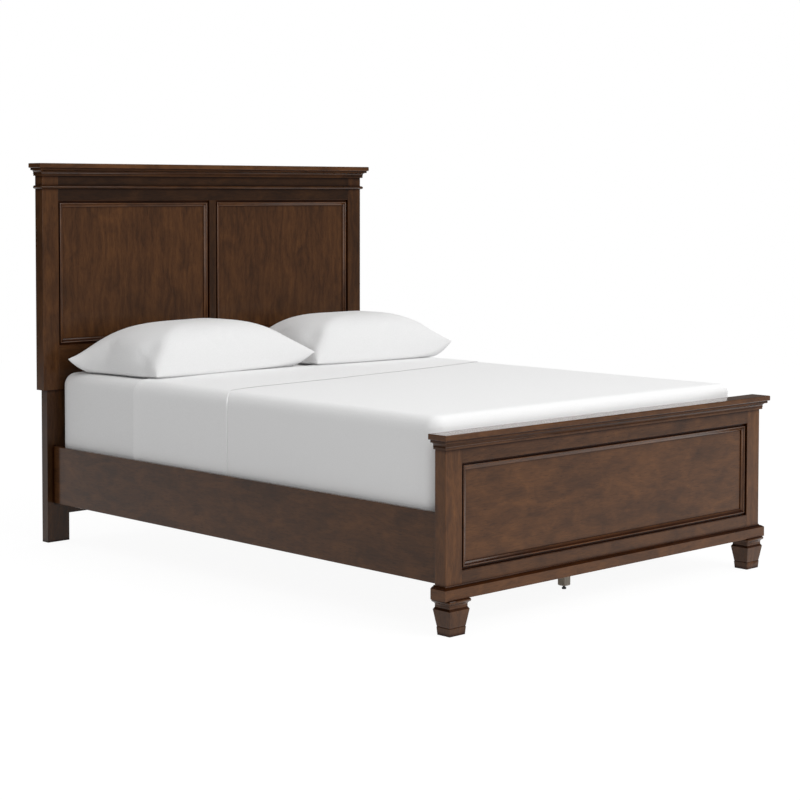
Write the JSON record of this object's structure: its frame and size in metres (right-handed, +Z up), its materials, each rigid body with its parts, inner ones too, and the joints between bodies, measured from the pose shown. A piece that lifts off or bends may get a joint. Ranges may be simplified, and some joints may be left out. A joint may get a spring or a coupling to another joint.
{
  "type": "bed",
  "caption": "Wooden panel bed with a tall framed headboard, low framed footboard on carved feet, side rails, slats, mattress, sheet and pillows.",
  "frame": {"origin": "on the floor, under the middle of the whole bed's outline", "axes": "+Z up, +Y from the footboard to the headboard, +X to the right as seen from the foot"},
  "size_m": [1.71, 2.2, 1.4575],
  "materials": {
    "dark_wood": "dark brown stain under a satin lacquer",
    "pale_wood": "planed and bare",
    "zinc_steel": "zinc plated",
    "black_plastic": "moulded, matte",
    "mattress_cloth": "white fitted cotton cover",
    "white_sheet": "white woven cotton",
    "white_pillow": "white woven cotton"
  },
  "bodies": {
    "frame": {"footboard_post_left": "dark_wood", "footboard_post_right": "dark_wood", "footboard_top_rail": "dark_wood", "footboard_bottom_rail": "dark_wood", "footboard_panel": "dark_wood", "footboard_panel_moulding": "dark_wood", "footboard_cap": "dark_wood", "footboard_crown_moulding": "dark_wood", "footboard_base_moulding": "dark_wood", "foot_left": "dark_wood", "foot_right": "dark_wood", "foot_hanger_bolts": "zinc_steel", "headboard_stile_left": "dark_wood", "headboard_stile_right": "dark_wood", "headboard_top_rail": "dark_wood", "headboard_bottom_rail": "dark_wood", "headboard_middle_stile": "dark_wood", "headboard_panel_left": "dark_wood", "headboard_panel_right": "dark_wood", "headboard_panel_moulding_left": "dark_wood", "headboard_panel_moulding_right": "dark_wood", "headboard_cap": "dark_wood", "headboard_crown_moulding": "dark_wood", "headboard_bead_moulding": "dark_wood", "headboard_leg_left": "dark_wood", "headboard_leg_right": "dark_wood", "headboard_leg_bolts": "zinc_steel", "headboard_stretcher": "dark_wood", "side_rail_left": "dark_wood", "side_rail_right": "dark_wood", "slat_ledge_left": "pale_wood", "slat_ledge_right": "pale_wood", "rail_bracket_foot_left": "zinc_steel", "rail_bracket_foot_right": "zinc_steel", "rail_bracket_head_left": "zinc_steel", "rail_bracket_head_right": "zinc_steel", "bracket_bolts": "zinc_steel", "bracket_screws": "zinc_steel", "slat_1": "pale_wood", "slat_2": "pale_wood", "slat_3": "pale_wood", "slat_4": "pale_wood", "slat_5": "pale_wood", "slat_6": "pale_wood", "slat_7": "pale_wood", "slat_8": "pale_wood", "slat_9": "pale_wood", "centre_leg_1": "pale_wood", "centre_leg_2": "pale_wood", "centre_leg_3": "pale_wood", "deck_screws": "zinc_steel"},
    "mattress": {"mattress": "mattress_cloth", "top_sheet": "white_sheet"},
    "pillow_left": {"pillow_left": "white_pillow"},
    "pillow_right": {"pillow_right": "white_pillow"},
    "leveller_1": {"leveller_1": "black_plastic"},
    "leveller_2": {"leveller_2": "black_plastic"},
    "leveller_3": {"leveller_3": "black_plastic"}
  },
  "joints": [
    {"name": "mattress_lift", "type": "slide", "parent": "frame", "child": "mattress", "axis": [0, 0, 1], "range_m": [0, 0.35]},
    {"name": "pillow_left_lift", "type": "slide", "parent": "mattress", "child": "pillow_left", "axis": [0, 0, 1], "range_m": [0, 0.12]},
    {"name": "pillow_right_lift", "type": "slide", "parent": "mattress", "child": "pillow_right", "axis": [0, 0, 1], "range_m": [0, 0.12]},
    {"name": "leveller_1_thread", "type": "slide", "parent": "frame", "child": "leveller_1", "axis": [0, 0, 1], "range_m": [-0.01, 0.005]},
    {"name": "leveller_2_thread", "type": "slide", "parent": "frame", "child": "leveller_2", "axis": [0, 0, 1], "range_m": [-0.01, 0.005]},
    {"name": "leveller_3_thread", "type": "slide", "parent": "frame", "child": "leveller_3", "axis": [0, 0, 1], "range_m": [-0.01, 0.005]}
  ]
}
